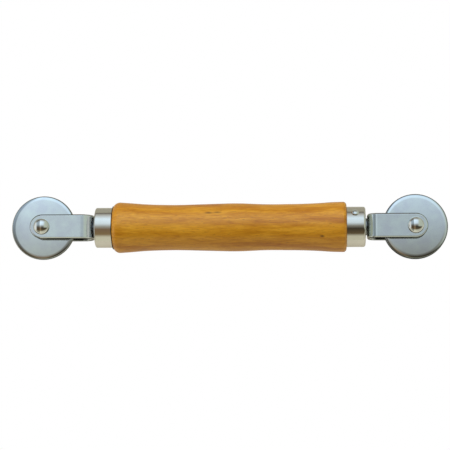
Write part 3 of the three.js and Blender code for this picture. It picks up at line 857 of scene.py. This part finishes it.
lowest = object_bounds()[0][2]
corner = FLOOR_SIZE / 2 * np.array([[-1, -1, 0], [1, -1, 0], [1, 1, 0], [-1, 1, 0]])
floor_mesh = bpy.data.meshes.new("floor")
floor_mesh.from_pydata(corner + [0, 0, lowest], [], [(0, 1, 2, 3)])
floor = bpy.data.objects.new("floor", floor_mesh)
bpy.context.collection.objects.link(floor)
floor.data.materials.append(light_table())
floor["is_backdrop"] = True

# %% Studio
# A stop is an angle from straight up, in degrees, positive towards the far side, and the light there. A
# second colour is for what lies a little to the left, where the dark near side is warmer.
STUDIO = [(-180, "#b0b0a0"), (-62, "#a8a898"), (-45, "#504634", "#6e5e44"), (-15, "#302c24", "#665644"),
          (0, "#70706a", "#848682"), (18, "#b8c8d4"), (45, "#c4d8e8"), (70, "#9ca0a0"), (87, "#58544c"),
          (100, "#84806e"), (180, "#b0b0a0")]
STUDIO_STRENGTH = 1.6
LEFT_PANEL = "#b7bbbc"
RIGHT_WALL = "#a8b0a4"
# Where a part of the room starts and where it is full, from a direction's shares of +X and +Y
LEFTWARD_X = (0.03, -0.15)
LEFT_PANEL_X, LEFT_PANEL_Y = (-0.72, -0.86), (-0.6, -0.3)
RIGHT_WALL_X, RIGHT_WALL_Y = (0.2, 0.6), (-0.35, -0.05)
# How strong the light is along the tool, from a direction's share of +X: (share, strength)
LENGTHWISE = [(-0.95, 1.1), (-0.82, 0.9), (-0.7, 0.45), (-0.36, 0.45), (-0.25, 1.12), (0, 1.0), (0.8, 0.8)]
SKYLIGHT_STRENGTH = 1.5
SKYLIGHT_SPREAD = 70  # degrees across
SKYLIGHT_TILT = 40  # degrees from straight up, towards the far side
SKYLIGHT_LEAN = 25  # degrees, towards the left end


def studio():
    """Paints the world: the studio to everything that mirrors or gathers light, white to the camera."""
    world = bpy.data.worlds.new("studio")
    world.use_nodes = True
    bpy.context.scene.world = world
    tree = world.node_tree
    tree.nodes.clear()
    direction = add_node(tree, "ShaderNodeTexCoord").outputs["Generated"]
    split = add_node(tree, "ShaderNodeSeparateXYZ", links={0: direction})
    angle = add_node(tree, "ShaderNodeMath", {"operation": "ARCTAN2"},
                     {0: split.outputs["Y"], 1: split.outputs["Z"]})
    share = add_node(tree, "ShaderNodeMapRange", {"From Min": -math.pi, "From Max": math.pi},
                     {"Value": angle.outputs[0]}).outputs["Result"]
    ahead, leftward = ([((stop[0] + 180) / 360, linear(stop[pick])) for stop in STUDIO] for pick in (1, -1))
    ahead, leftward = colour_ramp(tree, share, ahead), colour_ramp(tree, share, leftward)

    def soft_step(axis, zone):
        return add_node(tree, "ShaderNodeMapRange",
                        {"interpolation_type": "SMOOTHSTEP", "From Min": zone[0], "From Max": zone[1]},
                        {"Value": split.outputs[axis]}).outputs["Result"]

    right_share = add_node(tree, "ShaderNodeMath", {"operation": "MULTIPLY"},
                           {0: soft_step("X", RIGHT_WALL_X), 1: soft_step("Y", RIGHT_WALL_Y)}).outputs[0]
    left_share = add_node(tree, "ShaderNodeMath", {"operation": "MULTIPLY"},
                          {0: soft_step("X", LEFT_PANEL_X), 1: soft_step("Y", LEFT_PANEL_Y)}).outputs[0]
    room = add_node(tree, "ShaderNodeMix", {"data_type": "RGBA"},
                    {0: soft_step("X", LEFTWARD_X), 6: ahead, 7: leftward}).outputs[2]
    for part, paint in ((right_share, RIGHT_WALL), (left_share, LEFT_PANEL)):
        room = add_node(tree, "ShaderNodeMix", {"data_type": "RGBA", 7: linear(paint)},
                        {0: part, 6: room}).outputs[2]
    along = add_node(tree, "ShaderNodeMapRange", {"From Min": -1.0}, {"Value": split.outputs["X"]})
    peak = max(strength for _, strength in LENGTHWISE)
    greys = [((x + 1) / 2, (strength / peak,) * 3 + (1,)) for x, strength in LENGTHWISE]
    strength = add_node(tree, "ShaderNodeMath", {"operation": "MULTIPLY", 1: STUDIO_STRENGTH * peak},
                        {0: colour_ramp(tree, along.outputs["Result"], greys)}).outputs[0]
    light = add_node(tree, "ShaderNodeBackground", links={"Color": room, "Strength": strength})
    plain = add_node(tree, "ShaderNodeBackground", {"Color": linear("#ffffff"), "Strength": 1.0})
    path = add_node(tree, "ShaderNodeLightPath")
    shown = add_node(tree, "ShaderNodeMixShader",
                     links={0: path.outputs["Is Camera Ray"], 1: light.outputs[0], 2: plain.outputs[0]})
    output = add_node(tree, "ShaderNodeOutputWorld")
    tree.links.new(shown.outputs[0], output.inputs["Surface"])


def skylight():
    """A broad soft light from the far side. It stands for light too wide to mirror, so metal ignores it."""
    data = bpy.data.lights.new("skylight", "SUN")
    data.energy, data.angle = SKYLIGHT_STRENGTH, math.radians(SKYLIGHT_SPREAD)
    lamp = bpy.data.objects.new("skylight", data)
    lamp.rotation_euler = (math.radians(-SKYLIGHT_TILT), math.radians(-SKYLIGHT_LEAN), 0)
    lamp.visible_glossy = False
    bpy.context.collection.objects.link(lamp)


studio()
skylight()
bpy.context.scene.view_settings.view_transform = "Standard"

# %% Sizes, and the end
low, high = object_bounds()
